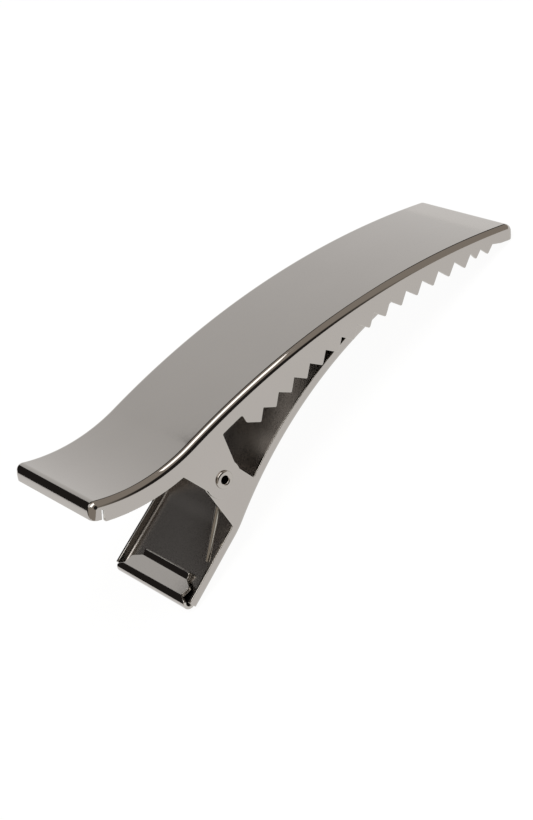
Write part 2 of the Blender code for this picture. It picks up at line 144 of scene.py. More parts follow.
@dataclass
class SidePath:
    """A chain of arcs in the side view, which a plate follows.

    Attributes:
        x: where it starts, from the pivot.
        z: how high it starts, from the pivot.
        heading: its first direction, above +X.
        runs: length and radius of each arc; a positive radius turns up, 0 is straight.
    """

    x: float
    z: float
    heading: float
    runs: tuple[tuple[float, float], ...]
    starts: np.ndarray = field(init=False)
    states: np.ndarray = field(init=False)

    def __post_init__(self) -> None:
        """Work out where each arc starts."""
        state, states, start, starts = (self.x, self.z, self.heading), [], 0.0, []
        for length, radius in self.runs:
            curl = 1.0 / radius if radius else 0.0
            states.append((*state, curl))
            starts.append(start)
            state = tuple(float(v) for v in self._walk(*state, curl, length))
            start += length
        self.starts, self.states = np.array(starts), np.array(states)

    @staticmethod
    def _walk(x: np.ndarray, z: np.ndarray, heading: np.ndarray, curl: np.ndarray, s: np.ndarray) -> tuple:
        """Go the length s along an arc.

        The arc's chord is s sin(h) / h long, with h half its turn, and points along the mean heading.

        Args:
            x, z, heading: where the arc starts and its direction there.
            curl: one over its radius.
            s: the length to go.

        Returns:
            Its x, z and heading there.
        """
        half = curl * s / 2
        chord = s * np.sinc(half / np.pi)
        return x + chord * np.cos(heading + half), z + chord * np.sin(heading + half), heading + 2 * half

    @property
    def length(self) -> float:
        """Length of all arcs."""
        return sum(length for length, _ in self.runs)

    def at(self, s: np.ndarray) -> tuple[np.ndarray, np.ndarray, np.ndarray]:
        """Where the path is after the lengths s; past an end its last arc goes on.

        Args:
            s: lengths from the start.

        Returns:
            Their x, z and heading.
        """
        s = np.asarray(s, float)
        run = np.clip(np.searchsorted(self.starts, s, side="right") - 1, 0, len(self.starts) - 1)
        x, z, heading, curl = np.moveaxis(self.states[run], -1, 0)
        return self._walk(x, z, heading, curl, s - self.starts[run])

    def off(self, s: np.ndarray, rise: np.ndarray) -> np.ndarray:
        """Points (x, z) at the lengths s, the distance rise square above the path."""
        x, z, heading = self.at(s)
        return np.stack([x - rise * np.sin(heading), z + rise * np.cos(heading)], axis=-1)

    def length_at_x(self, x: float, rise: float = 0.0) -> float:
        """The length at which the line that runs rise above the path passes x."""
        s = np.linspace(0.0, self.length, 4001)
        return float(np.interp(x, self.off(s, rise)[:, 0], s))

    def place(self, s: np.ndarray, y: np.ndarray, rise: np.ndarray) -> np.ndarray:
        """Points in the shared frame.

        Args:
            s: their lengths along the path.
            y: how far they stand to the side.
            rise: how far they stand square above the path.

        Returns:
            Their x, y and z, on a last axis.
        """
        s, y, rise = np.broadcast_arrays(s, y, rise)
        flat = self.off(s, rise)
        return np.stack([flat[..., 0], y, flat[..., 1]], axis=-1) + PIVOT

    def turn(self, s: np.ndarray, along: np.ndarray, side: np.ndarray, up: np.ndarray) -> np.ndarray:
        """Directions in the shared frame.

        Args:
            s: where they stand along the path.
            along, side, up: their parts along, beside and above the path.

        Returns:
            Their x, y and z, on a last axis.
        """
        s, along, side, up = np.broadcast_arrays(s, along, side, up)
        heading = self.at(s)[2]
        x = along * np.cos(heading) - up * np.sin(heading)
        z = along * np.sin(heading) + up * np.cos(heading)
        return np.stack([x, side, z], axis=-1)


def make_object(name: str, points: np.ndarray, faces: list,
                normals: np.ndarray | None = None) -> bpy.types.Object:
    """A smooth mesh object at the origin.

    Args:
        name: the piece's name.
        points: its corners, in the shared frame.
        faces: lists of corner numbers, turning anticlockwise seen from outside.
        normals: the surface's own direction at each corner, or none to let Blender work them out.

    Returns:
        The object, linked to the scene.
    """
    mesh = bpy.data.meshes.new(name)
    mesh.from_pydata(points.tolist(), [], faces)
    mesh.update()
    mesh.shade_smooth()
    if normals is not None:
        mesh.normals_split_custom_set_from_vertices(normals.tolist())
    made = bpy.data.objects.new(name, mesh)
    bpy.context.scene.collection.objects.link(made)
    log.info("%s: %d corners, %d faces", name, len(points), len(faces))
    return made


def mark_points(piece: bpy.types.Object, name: str, values: np.ndarray) -> None:
    """Store one number for each corner of a piece's mesh, for its material to read."""
    layer = piece.data.attributes.new(name, "FLOAT", "POINT")
    layer.data.foreach_set("value", values)


def grid_quads(rows: int, columns: int) -> np.ndarray:
    """Corner numbers of the quads of a grid, in reading order."""
    index = np.arange(rows * columns).reshape(rows, columns)
    return np.stack([index[:-1, :-1], index[1:, :-1], index[1:, 1:], index[:-1, 1:]], -1).reshape(-1, 4)


class ClipPiece:
    """A sub-assembly that becomes one piece, in the place of one CAD node.

    Attributes:
        slot: the record's material slot.
        body: the CAD body that it moves with, where it moves with one alone.
        node: the CAD node that it stands for.
    """

    slot: ClassVar[str]
    body: ClassVar[str]
    node: ClassVar[str]

    def dress(self, piece: bpy.types.Object, finish: bpy.types.Material) -> None:
        """Give the piece its finish, its place among the CAD nodes and its motion.

        Args:
            piece: the object.
            finish: its material.
        """
        piece.data.materials.append(finish)
        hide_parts(self.node)
        self.ride(piece)
        log.info("%s stands for %s", piece.name, self.node)

    def ride(self, piece: bpy.types.Object) -> None:
        """Let the piece move with its CAD body."""
        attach(piece, self.body)


@dataclass
class SheetPart:
    """Patches of the outer face of a sheet, which are then closed into a plate.

    Attributes:
        thickness: of the sheet.
        edge: radius of the rounded cut edge.
        edge_steps: chords of each rounded edge.
        corner_limit: least cosine of half a turn of the edge; sharper corners count as that one.
        flare: share by which the sheet gets wider towards its tail.
        flare_from: where that starts, from the pivot.
        flare_over: how far behind it the sheet is at its widest.
    """

    thickness: float = SHEET
    edge: float = 0.11 * MM
    edge_steps: int = 4
    corner_limit: float = 0.55
    flare: float = 0.0
    flare_from: float = -3.5 * MM
    flare_over: float = 11.0 * MM
    points: list = field(default_factory=list)
    normals: list = field(default_factory=list)
    faces: list = field(default_factory=list)
    count: int = 0

    def _add(self, points: np.ndarray, normals: np.ndarray, faces: np.ndarray) -> None:
        """Store a patch, with its faces turned to agree with its normals.

        Args:
            points, normals: one row for each corner.
            faces: one row of corner numbers for each face.
        """
        corners = points[faces]
        arms = corners - corners[:, :1]
        spread = np.cross(arms, np.roll(corners, -1, axis=1) - corners[:, :1]).sum(axis=1)
        if np.sum(spread * normals[faces[:, 0]]) < 0:
            faces = faces[:, ::-1]
        self.points.append(points)
        self.normals.append(normals)
        self.faces.append(faces + self.count)
        self.count += len(points)

    def add_grid(self, points: np.ndarray, normals: np.ndarray) -> None:
        """Add a patch whose points and normals are grids."""
        rows, columns = points.shape[:2]
        self._add(points.reshape(-1, 3), normals.reshape(-1, 3), grid_quads(rows, columns))

    def add_flat(self, points: np.ndarray, normal: tuple[float, float, float]) -> None:
        """Add one flat face with a free outline."""
        normals = np.broadcast_to(np.array(normal), points.shape)
        self._add(points, normals, np.arange(len(points))[None, :])

    def _welded(self) -> tuple[np.ndarray, np.ndarray, list[np.ndarray]]:
        """Make points that lie together one point, with their mean normal.

        Returns:
            The points, their normals and the faces in groups of one corner count each.
        """
        points, normals = np.concatenate(self.points), np.concatenate(self.normals)
        keys = np.round(points / WELD).astype(np.int64)
        _, first, number = np.unique(keys, axis=0, return_index=True, return_inverse=True)
        number = number.reshape(-1)
        mean = np.zeros((len(first), 3))
        np.add.at(mean, number, normals)
        return *self._flared(points[first], unit(mean)), [number[faces] for faces in self.faces]

    def _flared(self, points: np.ndarray, normals: np.ndarray) -> tuple[np.ndarray, np.ndarray]:
        """Widen the sheet towards its tail.

        Each y is multiplied by g = 1 + flare t t (3 - 2 t), where t is 0 at flare_from and 1 at the tail;
        the normal (a, b, c) becomes (a - b y g' / g, b / g, c).

        Args:
            points: points of the outer face.
            normals: their normals.

        Returns:
            The moved points and the turned normals.
        """
        t = np.clip((self.flare_from - (points[:, 0] - PIVOT[0])) / self.flare_over, 0.0, 1.0)
        wide = 1 + self.flare * t * t * (3 - 2 * t)
        change = -self.flare * 6 * t * (1 - t) / self.flare_over
        moved, turned = points.copy(), normals.copy()
        turned[:, 0] -= normals[:, 1] * points[:, 1] * change / wide
        turned[:, 1] /= wide
        moved[:, 1] *= wide
        return moved, unit(turned)

    @staticmethod
    def _without_slivers(groups: list[np.ndarray]) -> list[np.ndarray]:
        """Make quads of which two neighbouring corners are one point triangles.

        Args:
            groups: faces, in groups of one corner count each.

        Returns:
            The same, without repeated corners and without faces that shrank to a line.
        """
        kept = []
        for faces in groups:
            if faces.shape[1] != 4:
                kept.append(faces)
                continue
            same = faces == np.roll(faces, -1, axis=1)
            kept.append(faces[~same.any(axis=1)])
            for corner in range(4):
                pinched = faces[same[:, corner] & (same.sum(axis=1) == 1)]
                kept.append(np.delete(pinched, corner, axis=1))
        return [faces for faces in kept if len(faces)]

    @staticmethod
    def _open_edges(groups: list[np.ndarray]) -> np.ndarray:
        """Find the edges that only one face uses.

        Args:
            groups: faces, in groups of one corner count each.

        Returns:
            Pairs of corner numbers, in their face's direction.
        """
        pairs = [np.stack([faces, np.roll(faces, -1, axis=1)], axis=-1).reshape(-1, 2) for faces in groups]
        edges = np.concatenate(pairs)
        _, first, uses = np.unique(np.sort(edges, axis=1), axis=0, return_index=True, return_counts=True)
        return edges[first[uses == 1]]

    def _cut_edge(self, outer: np.ndarray, inner: np.ndarray, normal: np.ndarray,
                  outward: np.ndarray) -> tuple[np.ndarray, np.ndarray]:
        """Rings of the cut edge: a quarter round, the flat across the sheet and a quarter round.

        Each ring lies r sin(a) outside the edge and r (1 - cos(a)) below its face.

        Args:
            outer, inner: both faces' points along the edge.
            normal: the outer face's normals there.
            outward: directions out of the sheet, in its plane, longer at corners.

        Returns:
            The rings' points and normals.
        """
        angles = quarter(self.edge_steps)[1:, None, None]
        sink, out = self.edge * (1 - np.cos(angles)), self.edge * np.sin(angles)
        top = outer + out * outward - sink * normal
        low = (inner + out * outward + sink * normal)[::-1]
        top_normal = unit(np.cos(angles) * normal + np.sin(angles) * outward)
        low_normal = unit(np.sin(angles) * outward - np.cos(angles) * normal)[::-1]
        return np.concatenate([top, low]), np.concatenate([top_normal, low_normal])

    def close(self, name: str) -> bpy.types.Object:
        """Give the sheet its thickness and its rounded cut edge.

        The inner face is the outer one moved back along its normals, and the cut edge is carried along
        every edge that is still open.

        Args:
            name: the piece's name.

        Returns:
            The closed object, with the point attributes cut_edge and inner_face, 1 on those and else 0.
        """
        outer, normal, groups = self._welded()
        groups = self._without_slivers(groups)
        inner = outer - self.thickness * normal
        open_edges = self._open_edges(groups)
        rim, local = np.unique(open_edges, return_inverse=True)
        local = local.reshape(-1, 2)
        along = unit(outer[open_edges[:, 1]] - outer[open_edges[:, 0]])
        pull = np.zeros((len(rim), 3))
        np.add.at(pull, local[:, 0], along)
        np.add.at(pull, local[:, 1], along)
        straight = np.clip(np.linalg.norm(pull, axis=1) / 2, self.corner_limit, 1.0)[:, None]
        outward = unit(np.cross(pull, normal[rim])) / straight
        rings, ring_normals = self._cut_edge(outer[rim], inner[rim], normal[rim], outward)
        size, width = len(outer), len(rim)
        numbers = 2 * size + np.arange(len(rings) * width).reshape(len(rings), width)
        numbers = np.vstack([rim, numbers, rim + size])
        here, there = numbers[:, local[:, 0]], numbers[:, local[:, 1]]
        band = np.stack([there[:-1], here[:-1], here[1:], there[1:]], axis=-1).reshape(-1, 4)
        points = np.concatenate([outer, inner, rings.reshape(-1, 3)])
        normals = np.concatenate([normal, -normal, ring_normals.reshape(-1, 3)])
        faces = [row for group in groups for row in group.tolist()]
        faces += [row for group in groups for row in (group[:, ::-1] + size).tolist()]
        made = make_object(name, points, faces + band.tolist(), normals)
        counts = [size, size, rings[..., 0].size]
        mark_points(made, "cut_edge", np.repeat([0.0, 0.0, 1.0], counts))
        mark_points(made, "inner_face", np.repeat([0.0, 1.0, 0.0], counts))
        return made


@dataclass
class Tray:
    """A drawn tray: a plate that follows a path, rounded bends and upright flanges.

    Attributes:
        path: the outside of the plate.
        half: half its width.
        facing: which way the flanges stand.
        bend: outside radius of the bends.
        step: how far apart the stations along the plate lie.
        bend_steps: chords of each bend.
        sheet: the sheet that it is drawn from.
    """

    path: SidePath
    half: float
    facing: Facing
    bend: float = 1.0 * MM
    step: float = 0.4 * MM
    bend_steps: int = 14
    sheet: SheetPart = field(default_factory=SheetPart)

    def put(self, s: np.ndarray, y: np.ndarray, depth: np.ndarray, normal: tuple) -> None:
        """Add a grid of the outer face.

        Args:
            s: lengths along the plate.
            y: how far to the side.
            depth: how far from the plate, on the side where the flanges stand.
            normal: its normal's parts along, beside and out of the plate.
        """
        turn = self.facing.value
        along, side, out = normal
        s, y, depth, along, side, out = np.broadcast_arrays(s, y, depth, along, side, out)
        points = self.path.place(s, y, turn * depth)
        self.sheet.add_grid(points, self.path.turn(s, along, side, -turn * out))

    def stations(self, start: float, end: float) -> np.ndarray:
        """Stations along the plate, one of them over the pivot, where each flange is split."""
        middle = self.path.length_at_x(0.0, self.facing.value * self.bend)
        return np.append(across(start, middle, self.step)[:-1], across(middle, end, self.step))

    def plate(self, s: np.ndarray, y: np.ndarray) -> None:
        """Add the plate itself."""
        self.put(s[:, None], y[None, :], 0.0, (0.0, 0.0, 1.0))

    def side_bend(self, s: np.ndarray, side: int) -> None:
        """Add the quarter round along one side, b sin(a) out and b (1 - cos(a)) down.

        Args:
            s: stations of the plate.
            side: -1 or 1.
        """
        a = quarter(self.bend_steps)[None, :]
        y = side * (self.half - self.bend + self.bend * np.sin(a))
        self.put(s[:, None], y, self.bend * (1 - np.cos(a)), (0.0, side * np.sin(a), np.cos(a)))

    def flange(self, s: np.ndarray, side: int, outline: np.ndarray, hole: float) -> None:
        """Add one flat flange, as two faces that meet above and below the rivet's hole.

        Args:
            s: stations of the plate.
            side: -1 or 1.
            outline: points (x, z) of the free edge, from the end of the plate to its start.
            hole: radius of the hole round the pivot.
        """
        turn = self.facing.value
        top = self.path.off(s, turn * self.bend)
        split = int(np.argmin(np.abs(top[:, 0])))
        beside = np.where(outline[:, 1] * turn < 0, np.inf, np.abs(outline[:, 0]))
        ear = int(np.argmin(beside))
        front_hole = arc(hole, turn * 90.0, turn * -90.0, HOLE_STEP)
        rear_hole = arc(hole, turn * -90.0, turn * -270.0, HOLE_STEP)
        front = np.vstack([top[split:], outline[:ear + 1], front_hole])
        rear = np.vstack([rear_hole, outline[ear:], top[:split + 1]])
        for shape in (front, rear):
            y = np.full(len(shape), side * self.half)
            self.sheet.add_flat(np.column_stack([shape[:, 0], y, shape[:, 1]]) + PIVOT, (0.0, side, 0.0))


@dataclass
class UpperJaw(ClipPiece):
    """The arched upper jaw, with its teeth, window, ears and curled-up handle.

    The outside of its plate is two arcs, the handle's and the arch's, that meet just behind the pivot.
    Distances of teeth run from there towards the tips, and depths are square to the plate's outside.

    Attributes:
        half: half the width.
        rise: height of the meeting point above the pivot.
        meet_back: how far behind the pivot it lies.
        meet_slope: slope of the plate there.
        tail_radius, tail_length: the handle's arc, which turns up.
        arch_radius, arch_length: the jaw's arc, which turns down.
        handle_flange, window_flange: depth of the flange along the handle and over the window.
        valleys, points: distance and depth of some of the teeth's valleys and points; the rest lie between.
        lips: depth of the lip at the tail and at the tips.
        slit: two places along the plate from the tail's end, and the depth of the slit's top.
        slit_round: radius of the corner in front of the slit.
        nose: where the plain front of the flange starts, past the last tooth.
        teeth, pitch, first_tooth: how many big teeth, how far apart, and where the first point is.
        small_teeth, small_pitch, small_rise: how many small ones, how far apart, how much shorter.
        lean: share of a pitch between a valley and the next point.
        tooth_round: radius of points and valleys.
        window_front, window_round: front side of the window and the radius of its corners.
        ear_rear, ear_front: where the ear meets the flange, behind and in front of the pivot.
        ear_arc: angles in degrees over which the ear is round.
        hole: radius of the rivet's hole.
        curl: slope by which the foot of a lip turns in.
        lip_rows: rows of points down a lip.
    """

    slot: ClassVar[str] = "upper_plate"
    body: ClassVar[str] = "upper"
    node: ClassVar[str] = "upper_jaw"

    half: float = 10.0 * MM
    rise: float = 7.83 * MM
    meet_back: float = 0.2 * MM
    meet_slope: float = np.radians(-3.0)
    tail_radius: float = 26.0 * MM
    tail_length: float = 16.7 * MM
    arch_radius: float = 124.0 * MM
    arch_length: float = 60.8 * MM
    handle_flange: float = 2.85 * MM
    window_flange: float = 2.4 * MM
    valleys: tuple = ((10.1 * MM, 3.82 * MM), (16.4 * MM, 3.4 * MM), (51.0 * MM, 1.85 * MM))
    points: tuple = ((10.1 * MM, 5.32 * MM), (51.0 * MM, 3.6 * MM))
    lips: tuple[float, float] = (2.45 * MM, 2.15 * MM)
    slit: tuple[float, float, float] = (1.45 * MM, 1.98 * MM, 1.1 * MM)
    slit_round: float = 0.5 * MM
    nose: float = 58.3 * MM
    teeth: int = 14
    pitch: float = 3.14 * MM
    first_tooth: float = 10.1 * MM
    small_teeth: int = 2
    small_pitch: float = 2.3 * MM
    small_rise: float = 0.62 * MM
    lean: float = 0.56
    tooth_round: float = 0.14 * MM
    window_front: float = 8.3 * MM
    window_round: float = 0.5 * MM
    ear_rear: float = 3.4 * MM
    ear_front: float = 4.05 * MM
    ear_arc: tuple[float, float] = (12.0, -192.0)
    hole: float = 1.22 * MM
    curl: float = 0.26
    lip_rows: int = 6

    def path(self) -> SidePath:
        """Lay the handle's arc and the arch's end to end, and bring the place where they meet to its own.

        Returns:
            Outside of the plate, from the end of its tail to its tip.
        """
        start = self.meet_slope - self.tail_length / self.tail_radius
        runs = ((self.tail_length, self.tail_radius), (self.arch_length, -self.arch_radius))
        meet_x, meet_z, _ = SidePath(0.0, 0.0, start, runs).at(self.tail_length)
        return SidePath(-self.meet_back - float(meet_x), self.rise - float(meet_z), start, runs)

    def tooth_corners(self, path: SidePath) -> np.ndarray:
        """Corners of the teeth, from the tip of the clip back to the window.

        Args:
            path: outside of the plate.

        Returns:
            Rows of x, z and the corner's radius.
        """
        counts = [self.teeth, self.small_teeth]
        pitch = np.repeat([self.pitch, self.small_pitch], counts)
        tip = self.first_tooth + np.append(0.0, np.cumsum(pitch[1:]))
        valley = np.interp(tip, *np.transpose(self.valleys))
        point = np.interp(tip, *np.transpose(self.points)) - np.repeat([0.0, self.small_rise], counts)
        points = path.off(self.tail_length + tip, -point)
        valleys = path.off(self.tail_length + tip + (1 - self.lean) * pitch, -valley)
        pairs = np.stack([points, valleys], axis=1).reshape(-1, 2)[::-1]
        window = self.tail_length + self.window_front
        rear = path.off(np.full(2, window), np.array([-valley[0], -self.window_flange]))
        return np.vstack([corner_rows(pairs, self.tooth_round), corner_rows(rear, self.window_round)])

    def outline(self, path: SidePath, bend: float) -> np.ndarray:
        """Free edge of a flange, from the front lip to the tail's lip.

        Args:
            path: outside of the plate.
            bend: outside radius of its bends.

        Returns:
            Points (x, z) from the pivot.
        """
        front, rear = path.length_at_x(self.ear_front), path.length_at_x(-self.ear_rear)
        near, far, top = self.slit
        tail_lip, nose_lip = self.lips
        down = np.linspace(0.0, 1.0, self.lip_rows)
        front_end = path.off(path.length - bend + 0 * down, -bend - (nose_lip - bend) * down)[1:-1]
        rear_end = path.off(bend + 0 * down, -bend - (tail_lip - bend) * down)[-2:0:-1]
        nose = path.off(across(path.length - bend, self.tail_length + self.nose, STATION), -nose_lip)
        notch = path.off(np.array([front, rear]), -np.array([self.window_flange, self.handle_flange]))
        ear = arc(EAR_RADIUS, *self.ear_arc, EAR_STEP)
        handle = path.off(across(rear - 2 * EAR_ROUND, far, STATION), -self.handle_flange)
        cut = path.off(np.array([far, near, near, bend]), -np.array([top, top, tail_lip, tail_lip]))
        return round_corners(np.vstack([
            corner_rows(front_end), corner_rows(nose), self.tooth_corners(path),
            corner_rows(notch[:1], EAR_ROUND), corner_rows(ear), corner_rows(notch[1:], EAR_ROUND),
            corner_rows(handle[:-1]), corner_rows(handle[-1:], self.slit_round),
            corner_rows(cut), corner_rows(rear_end),
        ]))

    def lip(self, tray: Tray, y: np.ndarray, end: float, way: int, depth: float) -> None:
        """Add the bend, the lip below it and both rounded corners at one end of the plate.

        The bend is a quarter round, b sin(a) out and b (1 - cos(a)) down.  The lip goes straight down and
        its foot turns in by curl t t / 2 of its depth, with t from 0 at its top to 1 at its foot.  A corner
        is the same profile turned by b round the upright line where both bends start.

        Args:
            tray: the tray that it belongs to.
            y: stations across the plate.
            end: where the bend starts along the plate.
            way: -1 at the tail, 1 at the tips.
            depth: how deep the lip reaches.
        """
        bend, rest = tray.bend, depth - tray.bend
        a, b = quarter(tray.bend_steps)[:, None], quarter(tray.bend_steps)[None, :]
        drop = bend * (1 - np.cos(a))
        down = np.linspace(0.0, 1.0, self.lip_rows)[:, None]
        wall, tuck, lean = bend + rest * down, self.curl * rest * down ** 2 / 2, self.curl * down
        tray.put(end + way * bend * np.sin(a), y[None, :], drop, (way * np.sin(a), 0.0, np.cos(a)))
        size = np.hypot(1.0, lean)
        tray.put(end + way * (bend - tuck), y[None, :], wall, (way / size, 0.0, -lean / size))
        reach = self.half - bend
        for side in (-1, 1):
            tray.put(end + way * bend * np.sin(a) * np.sin(b),
                     side * (reach + bend * np.sin(a) * np.cos(b)), drop,
                     (way * np.sin(a) * np.sin(b), side * np.sin(a) * np.cos(b), np.cos(a)))
            size = np.hypot(1.0, lean * np.sin(b))
            tray.put(end + way * (bend - tuck) * np.sin(b), side * (reach + bend * np.cos(b)), wall,
                     (way * np.sin(b) / size, side * np.cos(b) / size, -lean * np.sin(b) / size))

    def build(self) -> tuple[bpy.types.Object, SidePath]:
        """Build the jaw.

        Returns:
            The object and the path of its plate.
        """
        path = self.path()
        tray = Tray(path, self.half, Facing.DOWN)
        bend = tray.bend
        s = tray.stations(bend, path.length - bend)
        y = across(bend - self.half, self.half - bend, ROW)
        tray.plate(s, y)
        outline = self.outline(path, bend)
        for side in (-1, 1):
            tray.side_bend(s, side)
            tray.flange(s, side, outline, self.hole)
        tail_lip, nose_lip = self.lips
        self.lip(tray, y, s[0], -1, tail_lip)
        self.lip(tray, y, s[-1], 1, nose_lip)
        return tray.sheet.close("upper_jaw_plate"), path


@dataclass
class LowerJaw(ClipPiece):
    """The plain lower jaw inside the upper one, with its folded handle end.

    Attributes:
        half, bend: half the width and the outside radius of the long bends.
        tail_x, tail_z: end of the floor at the tail, from the pivot.
        handle_angle, handle_length: slope and length of the straight handle.
        knee_angle, knee_radius: the bend by which the floor turns up below the pivot.
        jaw_radius: radius of the arched rest.
        tip_gap: from the end of the upper jaw back to the tip, along the upper plate.
        wall: height of the walls.
        closed_gap: least gap between a wall and the plate above it.
        ear_rear, ear_front: where the ear meets the wall, behind and in front of the pivot.
        ear_arc: angles in degrees over which the ear is round.
        hole: radius of the rivet's hole.
        flare: share by which the handle gets wider.
        start: where the flat floor and the walls start, from the tail's end.
        hem_radius, hem_side: outside radius of the fold, and how far it stays clear of each side.
        fold_steps: chords of the fold.
        flap, flap_slope, flap_step: length, slope and station distance of the flap that is folded back.
        flap_sides: its width at the fold, in the middle and at its end, as shares of the fold's.
        flap_places: where those widths change, as shares of its length.
        grip_radius, grip_turn, grip_steps: the bend by which its free end turns up.
        grip: straight length of that end.
    """

    slot: ClassVar[str] = "lower_plate"
    body: ClassVar[str] = "lower"
    node: ClassVar[str] = "lower_jaw"

    half: float = 10.0 * MM - SHEET - SIDE_GAP
    bend: float = 0.85 * MM
    tail_x: float = -14.9 * MM
    tail_z: float = -11.52 * MM
    handle_angle: float = np.radians(13.5)
    handle_length: float = 11.2 * MM
    knee_angle: float = np.radians(10.9)
    knee_radius: float = 15.0 * MM
    jaw_radius: float = 63.0 * MM
    tip_gap: float = 3.6 * MM
    wall: float = 1.53 * MM
    closed_gap: float = 0.42 * MM
    ear_rear: float = 2.45 * MM
    ear_front: float = 4.0 * MM
    ear_arc: tuple[float, float] = (-14.0, 186.0)
    hole: float = 1.22 * MM
    flare: float = 0.02
    start: float = 0.7 * MM
    hem_radius: float = 1.0 * MM
    hem_side: float = 1.0 * MM
    fold_steps: int = 28
    flap: float = 2.3 * MM
    flap_slope: float = np.radians(21.5)
    flap_step: float = 0.15 * MM
    flap_sides: tuple[float, float, float] = (1.0, 0.86, 0.66)
    flap_places: tuple[float, float, float, float] = (-0.3, 0.0, 0.6, 0.95)
    grip_radius: float = 0.7 * MM
    grip_turn: float = np.radians(45.0)
    grip_steps: int = 10
    grip: float = 0.35 * MM

    def path(self, upper: SidePath) -> SidePath:
        """Outside of the floor, from the fold at its tail to its tip inside the upper jaw's lip.

        Args:
            upper: the path of the upper jaw's plate.

        Returns:
            The path.
        """
        knee = ((self.handle_length, 0.0), (self.knee_angle * self.knee_radius, self.knee_radius))
        start = (self.tail_x, self.tail_z, self.handle_angle)
        endless = SidePath(*start, knee + ((upper.length, -self.jaw_radius),))
        tip_x = float(upper.at(upper.length - self.tip_gap)[0])
        length = endless.length_at_x(tip_x) - sum(run for run, _ in knee)
        return SidePath(*start, knee + ((length, -self.jaw_radius),))

    def outline(self, path: SidePath, upper: SidePath) -> np.ndarray:
        """Free edge of a wall, from the tip back to the tail; towards the tip it stays under the plate.

        Args:
            path: outside of the floor.
            upper: the path of the upper jaw's plate.

        Returns:
            Points (x, z) from the pivot.
        """
        front, rear = path.length_at_x(self.ear_front), path.length_at_x(-self.ear_rear)
        wall = path.off(across(path.length, front + 2 * EAR_ROUND, STATION), self.wall)
        plate_x, plate_z, slope = upper.at(np.linspace(0.0, upper.length, 2001))
        ceiling = np.interp(wall[:, 0], plate_x, plate_z - (SHEET + self.closed_gap) / np.cos(slope))
        wall[:, 1] = np.minimum(wall[:, 1], ceiling)
        notch = path.off(np.array([front, rear]), self.wall)
        ear = arc(EAR_RADIUS, *self.ear_arc, EAR_STEP)
        handle = path.off(across(rear - 2 * EAR_ROUND, self.start, STATION), self.wall)
        return round_corners(np.vstack([
            corner_rows(wall), corner_rows(notch[:1], EAR_ROUND), corner_rows(ear),
            corner_rows(notch[1:], EAR_ROUND), corner_rows(handle),
        ]))

    def hem(self, tray: Tray, y: np.ndarray) -> None:
        """Add the open hem at the tail: a fold, a flap and its grip, each station a point and a direction.

        The fold is a round that goes on past half a turn, so that the flap runs down to the floor; there
        the grip turns its free end up again.  The flap gets narrower in two soft steps.

        Args:
            tray: the tray that it belongs to.
            y: stations across the fold.
        """
        top = np.pi / 2 - self.flap_slope
        tip = top + self.grip_turn
        a = np.linspace(-np.pi / 2, top - 2 * np.pi, self.fold_steps + 1)
        b = np.linspace(top, tip, self.grip_steps + 1)[1:]
        fold = np.array([self.start, self.hem_radius])
        out = np.array([np.cos(top), np.sin(top)])
        down = np.array([np.sin(top), -np.cos(top)])
        flap = fold + self.hem_radius * out
        run = across(0.0, self.flap, self.flap_step)[1:, None]
        rounded = flap + down * self.flap + self.grip_radius * (out - circle(b))
        end = rounded[-1] + self.grip * np.array([np.sin(tip), -np.cos(tip)])
        flat = np.vstack([fold + self.hem_radius * circle(a), flap + down * run, rounded, end])
        turn = np.concatenate([a, np.full(len(run), top), b, [tip]])[:, None]
        full, middle, narrow = self.flap_sides
        places = flap[0] + self.flap * np.array(self.flap_places)
        width = np.interp(flat[:, :1], places, [full, middle, middle, narrow])
        width[:len(a)][np.sin(a) <= 0] = full
        points = tray.path.place(flat[:, :1], y[None, :] * width, flat[:, 1:])
        normals = tray.path.turn(flat[:, :1], np.cos(turn), 0.0 * y[None, :], np.sin(turn))
        tray.sheet.add_grid(points, normals)

    def build(self, upper: SidePath) -> tuple[bpy.types.Object, SidePath]:
        """Build the jaw.

        Args:
            upper: the path of the upper jaw's plate.

        Returns:
            The object and the path of its floor.
        """
        path = self.path(upper)
        tray = Tray(path, self.half, Facing.UP, bend=self.bend, sheet=SheetPart(flare=self.flare))
        s = tray.stations(self.start, path.length)
        hem = across(self.hem_side - self.half, self.half - self.hem_side, ROW)
        reach = self.half - self.bend
        tray.plate(s, np.concatenate([[-reach], hem, [reach]]))
        outline = self.outline(path, upper)
        for side in (-1, 1):
            tray.side_bend(s, side)
            tray.flange(s, side, outline, self.hole)
        self.hem(tray, hem)
        return tray.sheet.close("lower_jaw_plate"), path


